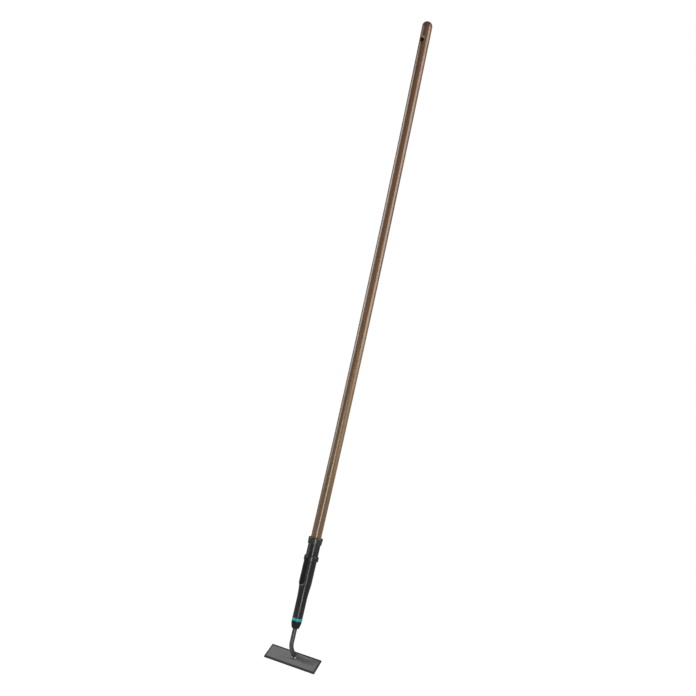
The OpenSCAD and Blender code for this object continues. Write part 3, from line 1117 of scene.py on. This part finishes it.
    def collar_moulding(self) -> Piece:
        """Clamping collar over the mouth of the sleeve."""
        low_z, high_z, wide = self.collar.low.z, self.collar.high.z, self.collar.half_width
        return turned("collar_moulding", [
            Corner(self.collar_seat_r, low_z, self.edge_ease),
            Corner(wide - self.collar_flare, low_z, self.collar_foot_ease),
            Corner(wide, high_z, self.collar_ease),
            Corner(self.collar_lip_r, high_z, self.edge_ease),
            Corner(self.collar_lip_r, high_z - self.collar_lip, self.edge_ease),
            Corner(self.collar_seat_r, high_z - self.collar_lip)], self.axis_y, loop=True)

    def plain_plate(self) -> Piece:
        """Plain cover plate in the tongue's recess.

        Returns:
            The piece.
        """
        half, top, bottom = self.plate.half_width, self.plate.high.z, self.recess_z + self.fit_gap
        front = self.axis_y - self.plate.low.y
        rings = [self.strip(half, bottom, top, self.recess_floor)]
        for inset, short in quarter_round(self.plate_ease):
            rings.append(self.strip(half - inset, bottom + inset, top - inset, front - short))
        return loft("plate_bare", rings)

    def ring_moulding(self) -> Piece:
        """Coloured ring with a slightly crowned outside."""
        low_z, high_z, wide = self.ring.low.z, self.ring.high.z, self.ring.half_width
        return turned("ring_moulding", [
            Corner(self.ring_bore_r, low_z),
            Corner(wide - self.ring_crown, low_z, self.ring_ease),
            Corner(wide, self.ring.middle_z, self.ring_ease),
            Corner(wide - self.ring_crown, high_z, self.ring_ease),
            Corner(self.ring_bore_r, high_z)], self.axis_y, loop=True)

    def nose_moulding(self) -> Piece:
        """Rounded nose cap under the colour ring.

        Returns:
            The piece.
        """
        low_z, high_z = self.nose.low.z, self.nose.high.z
        inset = self.lower_r - self.nose_end_r
        height = high_z - low_z
        bow_r = (inset * inset + height * height) / (2 * inset)
        side = []
        for i in range(1, self.nose_steps + 1):
            rise = height * i / self.nose_steps
            drop = height - rise
            side.append(Corner(self.lower_r - bow_r + math.sqrt(bow_r * bow_r - drop * drop), low_z + rise))
        seat_z = high_z - self.spigot_seat
        return turned("nose_moulding", [
            Corner(self.tang_bore_r, low_z, self.edge_ease),
            Corner(self.nose_end_r, low_z, self.nose_ease),
            *side,
            Corner(self.ring_bore_r, high_z),
            Corner(self.ring_bore_r, seat_z),
            Corner(self.tang_bore_r, seat_z)], self.axis_y, loop=True)


@dataclass
class HeadSet:
    """The bent neck, its weld and the flat blade.

    Each lump of the weld is a share of its leg, a count of waves round the neck, and a start.
    """

    neck_drop: float = 48.2 * MM
    neck_leg: float = 35 * MM
    neck_bend: float = math.radians(45)
    bend_radius: float = 30 * MM
    lead_in: float = 1.5 * MM
    bar_sides: int = 64
    bend_steps: int = 28
    blade_angle: float = math.radians(36)
    blade_depth: float = 42.3 * MM
    blade_front_half: float = 80 * MM
    blade_rear_half: float = 78.5 * MM
    blade_thickness: float = 2.5 * MM
    landing_setback: float = 13.6 * MM
    corner_ease: float = 1.5 * MM
    edge_ease: float = 0.5 * MM
    # Widths and fades of the painted dark border of shade along the blade's edges and along its front.
    rim_width: float = 3.3 * MM
    rim_fade: float = 0.8 * MM
    front_band: float = 4.6 * MM
    front_fade: float = 2.2 * MM
    bevel_width: float = 4 * MM
    bevel_land: float = 1 * MM
    ground_share: float = 0.9
    corner_steps: int = 10
    weld_leg: float = 4.4 * MM
    weld_fill: float = 0.96
    weld_lumps: tuple[tuple[float, int, float], ...] = ((0.04, 3, 0.6), (0.03, 7, 0.0))
    weld_ripple: float = 0.16 * MM
    weld_ripples: int = 24
    weld_sweep: float = 1.6
    weld_flat: float = 0.45 * MM
    weld_flat_way: Place = (0.599, -0.797, 0.082)
    weld_turns: int = 192
    weld_steps: int = 12
    # On the blade the edge colour is the painted shade of its dark border.
    steel: CoatedSteelFinish = CoatedSteelFinish(
        "coated_steel", (0.133, 0.133, 0.134), (0.121, 0.121, 0.122), (0.010, 0.010, 0.011))
    bar_steel: CoatedSteelFinish = CoatedSteelFinish(
        "coated_bar", (0.056, 0.056, 0.057), (0.048, 0.048, 0.049), (0.030, 0.030, 0.031), 0.25, 0.8)
    weld_steel: CoatedSteelFinish = CoatedSteelFinish(
        "coated_weld", (0.065, 0.065, 0.066), (0.052, 0.052, 0.053), (0.090, 0.090, 0.092), 0.16, 0.8)

    def __post_init__(self) -> None:
        """Works out the places of the bend, the landing and the bevel from the frame."""
        neck = NodeBox.of("neck")
        self.axis_y = NodeBox.of("sleeve").axis_y
        self.neck_r = neck.half_width
        self.tang_z = neck.high.z
        self.corner = Vector((0, self.axis_y, NodeBox.of("nose_cap").low.z - self.neck_drop))
        self.leg_way = Vector((0, math.sin(self.neck_bend), -math.cos(self.neck_bend)))
        self.landing = self.corner + self.neck_leg * self.leg_way
        self.face = Vector((0, -math.cos(self.blade_angle), math.sin(self.blade_angle)))
        self.rearward = Vector((0, math.sin(self.blade_angle), math.cos(self.blade_angle)))
        self.front_edge = self.landing_setback - self.blade_depth
        self.bevel_start = self.front_edge + self.bevel_width

    def build(self) -> None:
        """Builds and dresses the neck, the weld and the blade."""
        seat(self.neck_bar(), "neck", self.bar_steel)
        seat(self.rippled_weld(), "weld_bead", self.weld_steel)
        seat(self.blade_plate(), "blade", self.steel)

    def on_face(self, x: float, back: float, up: float) -> Vector:
        """Point at a place across the blade, back from the landing and above the face."""
        return self.landing + x * ACROSS + back * self.rearward + up * self.face

    def off_face(self, point: Vector) -> tuple[float, float]:
        """How far a point lies back from the landing and above the face."""
        away = point - self.landing
        return away.dot(self.rearward), away.dot(self.face)

    def neck_bar(self) -> Piece:
        """Round bar with its tang, bend and leg.

        Returns:
            The piece.
        """
        run = self.bend_radius * math.tan(self.neck_bend / 2)
        pivot = self.corner + run * UPWARD + self.bend_radius * BACKWARD
        tang = Vector((0, self.axis_y, self.tang_z))
        rings = [
            circle(tang, BACKWARD, self.neck_r - self.lead_in, self.bar_sides),
            circle(tang - self.lead_in * UPWARD, BACKWARD, self.neck_r, self.bar_sides)]
        for i in range(self.bend_steps + 1):
            turn = self.neck_bend * i / self.bend_steps
            outward = Vector((0, -math.cos(turn), -math.sin(turn)))
            rings.append(circle(pivot + self.bend_radius * outward, -outward, self.neck_r, self.bar_sides))
        foot = []
        for point in circle(self.landing, -outward, self.neck_r, self.bar_sides):
            gap = self.off_face(point)[1] / self.leg_way.dot(self.face)
            foot.append(point - gap * self.leg_way)
        return loft("neck_bar", [*rings, foot])

    def rippled_weld(self) -> Piece:
        """Weld round the foot of the neck, laid in overlapping ripples.

        Returns:
            The piece.
        """
        lean = self.leg_way.dot(self.rearward) / self.leg_way.dot(self.face)
        inside = self.neck_r - self.lead_in
        rings = []
        for i in range(self.weld_turns):
            angle = 2 * math.pi * i / self.weld_turns
            lump = sum(share * math.sin(waves * angle + start) for share, waves, start in self.weld_lumps)
            section = []
            for k in range(self.weld_steps + 1):
                climb = math.pi / 2 * k / self.weld_steps
                phase = self.weld_ripples * angle + self.weld_sweep * math.cos(climb)
                ripple = self.weld_ripple * (abs(math.sin(phase / 2)) - 1) * math.sin(2 * climb)
                body = self.weld_leg * (self.weld_fill + lump) + ripple
                section.append((self.neck_r + body * math.cos(climb), body * math.sin(climb)))
            section += [(inside, section[-1][1]), (inside, 0.0)]
            rings.append([
                self.on_face(out * math.cos(angle), out * math.sin(angle) + lean * up, up)
                for out, up in section])
        self.flatten(rings)
        return loft("weld_rippled", rings, loop=True)

    def flatten(self, rings: Sequence[Ring]) -> None:
        """Levels the side of the weld that a blow with the chipping hammer has flattened.

        Args:
            rings: Rings of the weld, whose points are moved.
        """
        way = Vector(self.weld_flat_way).normalized()
        level = max(point.dot(way) for ring in rings for point in ring) - self.weld_flat
        for ring in rings:
            for point in ring:
                point -= max(0.0, point.dot(way) - level) * way

    def blade_outline(self, inset: float, up: float) -> Ring:
        """Outline of the blade, drawn in from its edge.

        Args:
            inset: Distance from the edge.
            up: Height above the face.

        Returns:
            The ring of points.
        """
        bend = max(self.corner_ease - inset, self.edge_ease)
        front = (self.blade_front_half - inset - bend, self.front_edge + inset + bend)
        rear = (self.blade_rear_half - inset - bend, self.landing_setback - inset - bend)
        points = []
        for side, (half, back), start in ((-1, front, 180), (1, front, 270), (1, rear, 0), (-1, rear, 90)):
            for i in range(self.corner_steps + 1):
                turn = math.radians(start + 90 * i / self.corner_steps)
                x = side * half + bend * math.cos(turn)
                points.append(self.on_face(x, back + bend * math.sin(turn), up))
        return points

    def blade_plate(self) -> Piece:
        """Flat blade with eased edges, ground from above along its front edge.

        Returns:
            The piece.
        """
        flats = sorted((
            self.bevel_width, self.rim_width, self.rim_width + self.rim_fade,
            self.front_band, self.front_band + self.front_fade))
        upper = [(inset, -short) for inset, short in quarter_round(self.edge_ease)]
        upper += [(inset, 0.0) for inset in flats]
        lower = [(inset, -self.blade_thickness - up) for inset, up in reversed(upper)]
        blade = loft("blade_plate", [self.blade_outline(inset, up) for inset, up in lower + upper])
        self.grind(blade)
        self.mark_coating(blade)
        return blade

    def grind(self, blade: Piece) -> None:
        """Lowers the upper side towards the front edge, as grinding does.

        Args:
            blade: The blade, which is changed.
        """
        edit = bmesh.new()
        edit.from_mesh(blade.data)
        everything = edit.verts[:] + edit.edges[:] + edit.faces[:]
        start = self.on_face(0, self.bevel_start, 0)
        bmesh.ops.bisect_plane(edit, geom=everything, plane_co=start, plane_no=self.rearward)
        for vertex in edit.verts:
            back, up = self.off_face(vertex.co)
            if back < self.bevel_start and up > -self.blade_thickness / 2:
                share = (self.bevel_start - back) / self.bevel_width
                vertex.co -= share * (self.blade_thickness - self.bevel_land) * self.face
        write_clean(edit, blade.data)

    def mark_coating(self, blade: Piece) -> None:
        """Marks the faces that are ground, and the border that is painted darker as shade.

        Args:
            blade: The blade.
        """
        ground = []
        for polygon in blade.data.polygons:
            back, up = self.off_face(polygon.center)
            ground.append(float(back < self.bevel_start and up > -self.blade_thickness * self.ground_share))
        store(blade, Mark.GROUND, "FACE", ground)
        border = []
        for vertex in blade.data.vertices:
            back, _ = self.off_face(vertex.co)
            depth = (self.landing_setback - back) / self.blade_depth
            half = self.blade_rear_half + (self.blade_front_half - self.blade_rear_half) * depth
            inset = min(half - abs(vertex.co.x), self.landing_setback - back)
            rim = (self.rim_width + self.rim_fade - inset) / self.rim_fade
            band = (self.front_band + self.front_fade - (back - self.front_edge)) / self.front_fade
            border.append(held(max(rim, band)))
        store(blade, Mark.RIM, "POINT", border)


@dataclass(frozen=True)
class Softbox:
    """A rectangular studio lamp that faces the hoe's axis.

    The azimuth counts from the camera to its right, in degrees.
    """

    name: str
    azimuth: float
    distance: float
    low_z: float
    high_z: float
    width: float
    level: float
    colour: Colour = WHITE
    mirrored: bool = True


@dataclass(frozen=True)
class Spotlight:
    """A gridded lamp on the blade, from the left and above, which casts the neck's shadow on it.

    The azimuth counts from the camera to its right, in degrees.
    """

    name: str = "blade_spot"
    azimuth: float = -101.0
    distance: float = 2.0
    height_z: float = -0.475
    aim_z: float = -1.59
    power: float = 130.0
    cone_degrees: float = 18.0
    radius: float = 0.12


@dataclass
class Studio:
    """Camera, lamps, surround and floor."""

    position: Place = (3.3092, -4.9403, -0.5913)
    azimuth: float = 33.9419
    depression: float = 1.9008
    roll: float = 13.0013
    lens_mm: float = 123.26
    sensor_mm: float = 36.0
    floor_drop: float = 0.65
    floor_half: float = 9.0
    floor_colour: Colour = (0.5, 0.5, 0.5)
    floor_glow: float = 0.92
    ambient: float = 0.2
    gloss_share: float = 0.2
    boxes: tuple[Softbox, ...] = (
        Softbox("right_box", 65, 2.0, -0.88, 0.55, 1.7, 3.0, WARM),
        Softbox("right_top", 65, 2.0, 0.55, 2.4, 1.7, 1.2, WARM),
        Softbox("right_foot", 65, 2.0, -1.25, -0.88, 1.7, 0.8, WARM),
        Softbox("left_box", -91.5, 2.0, -0.92, 0.03, 1.34, 3.0),
        Softbox("left_foot", -91.5, 2.0, -1.32, -0.92, 1.34, 1.8),
        Softbox("front_box", 6, 1.5, -1.9, -1.22, 0.42, 5.4),
        Softbox("front_veil", 6, 1.5, -1.22, -1.0, 0.42, 2.2),
        Softbox("back_box", 180, 2.0, -1.7, 0.4, 1.6, 2.4, mirrored=False))
    spot: Spotlight = Spotlight()

    def build(self) -> None:
        """Builds everything round the hoe."""
        self.camera()
        self.surround()
        self.floor()
        for box in self.boxes:
            self.softbox(box)
        self.spotlight()

    def camera(self) -> None:
        """Sets the camera at the photograph's viewing angle."""
        turn, tilt, roll = (math.radians(a) for a in (self.azimuth, self.depression, self.roll))
        ahead = Vector((-math.sin(turn) * math.cos(tilt), math.cos(turn) * math.cos(tilt), -math.sin(tilt)))
        level = ahead.cross(UPWARD).normalized()
        right = math.cos(roll) * level + math.sin(roll) * level.cross(ahead)
        data = bpy.data.cameras.new("camera")
        data.lens = self.lens_mm
        data.sensor_width = self.sensor_mm
        camera = bpy.data.objects.new("camera", data)
        axes = Matrix((right, right.cross(ahead), -ahead)).transposed()
        camera.matrix_world = Matrix.Translation(self.position) @ axes.to_4x4()
        bpy.context.scene.collection.objects.link(camera)
        bpy.context.scene.camera = camera

    def surround(self) -> None:
        """White background, and a plain level of light from all sides."""
        world = bpy.data.worlds.new("studio")
        world.use_nodes = True
        bpy.context.scene.world = world
        bpy.context.scene.view_settings.view_transform = "Standard"
        sheet = Sheet(world.node_tree)
        strength = sheet.math("MAXIMUM", self.shown(sheet), self.ambient)
        back = sheet.add("ShaderNodeBackground", {"Color": WHITE, "Strength": strength})
        sheet.add("ShaderNodeOutputWorld", {"Surface": back.outputs["Background"]})

    def shown(self, sheet: Sheet) -> Socket:
        """How much of the white background a ray sees: all of it, or less where it is mirrored.

        Args:
            sheet: The sheet of the world or the floor.

        Returns:
            The share, from 0 to 1.
        """
        path = sheet.add("ShaderNodeLightPath")
        direct = sheet.math("MAXIMUM", path.outputs["Is Camera Ray"], path.outputs["Is Transmission Ray"])
        mirrored = sheet.math("MULTIPLY", path.outputs["Is Glossy Ray"], self.gloss_share)
        return sheet.math("MAXIMUM", direct, mirrored)

    def floor(self) -> None:
        """Plain pale floor below the hanging hoe, which keeps its shadow."""
        low = CAD_LOW.z - self.floor_drop
        half = self.floor_half
        edit = bmesh.new()
        corners = ((-half, -half), (half, -half), (half, half), (-half, half))
        edit.faces.new([edit.verts.new((x, y, low)) for x, y in corners])
        floor = as_object("floor", edit)
        if floor.data.polygons[0].normal.z < 0:
            floor.data.flip_normals()
        material = bpy.data.materials.new("pale_floor")
        material.use_nodes = True
        sheet = Sheet(material.node_tree)
        side = sheet.add("ShaderNodeNewGeometry")
        glow = sheet.math("MULTIPLY", self.shown(sheet), self.floor_glow)
        matt = sheet.add("ShaderNodeBsdfDiffuse", {"Color": self.floor_colour})
        lit = sheet.add("ShaderNodeEmission", {"Color": WHITE, "Strength": glow})
        both = sheet.add("ShaderNodeAddShader", {0: matt.outputs["BSDF"], 1: lit.outputs["Emission"]})
        clear = sheet.add("ShaderNodeBsdfTransparent")
        shown = sheet.add("ShaderNodeMixShader", {
            0: side.outputs["Backfacing"], 1: both.outputs["Shader"], 2: clear.outputs["BSDF"]})
        sheet.add("ShaderNodeOutputMaterial", {"Surface": shown.outputs["Shader"]})
        floor.data.materials.append(material)

    def softbox(self, box: Softbox) -> None:
        """Hangs one softbox.

        Args:
            box: Its place, size and level.
        """
        height = box.high_z - box.low_z
        data = bpy.data.lights.new(box.name, "AREA")
        data.shape = "RECTANGLE"
        data.size = box.width
        data.size_y = height
        data.energy = LEVEL_TO_POWER * box.level * box.width * height
        data.color = box.colour
        middle = (box.low_z + box.high_z) / 2 * UPWARD
        self.hang(data, middle + box.distance * self.outward(box.azimuth), middle, box.mirrored)

    def spotlight(self) -> None:
        """Hangs the gridded lamp, whose light is diffuse alone."""
        spot = self.spot
        data = bpy.data.lights.new(spot.name, "SPOT")
        data.energy = spot.power
        data.spot_size = math.radians(spot.cone_degrees)
        data.spot_blend = 1.0
        data.shadow_soft_size = spot.radius
        place = spot.distance * self.outward(spot.azimuth) + spot.height_z * UPWARD
        self.hang(data, place, spot.aim_z * UPWARD, False)

    def outward(self, azimuth: float) -> Vector:
        """Level direction from the hoe's axis to a lamp at an azimuth."""
        turn = math.radians(self.azimuth + azimuth)
        return Vector((math.sin(turn), -math.cos(turn), 0))

    @staticmethod
    def hang(data: bpy.types.Light, place: Vector, target: Vector, mirrored: bool) -> None:
        """Hangs a lamp and aims it.

        Args:
            data: The lamp.
            place: Where it hangs.
            target: The point that it faces.
            mirrored: Whether it shows in glossy surfaces.
        """
        lamp = bpy.data.objects.new(data.name, data)
        aim = (target - place).to_track_quat("-Z", "Y").to_matrix()
        lamp.matrix_world = Matrix.Translation(place) @ aim.to_4x4()
        lamp.visible_camera = False
        lamp.visible_glossy = mirrored
        bpy.context.scene.collection.objects.link(lamp)


def main() -> None:
    """Builds the hoe and the studio round it."""
    logging.basicConfig(level=logging.INFO)
    Effects().build()
    for part in (Studio(), HandleSet(), SleeveSet(), HeadSet()):
        part.build()


if __name__ == "__main__":
    main()
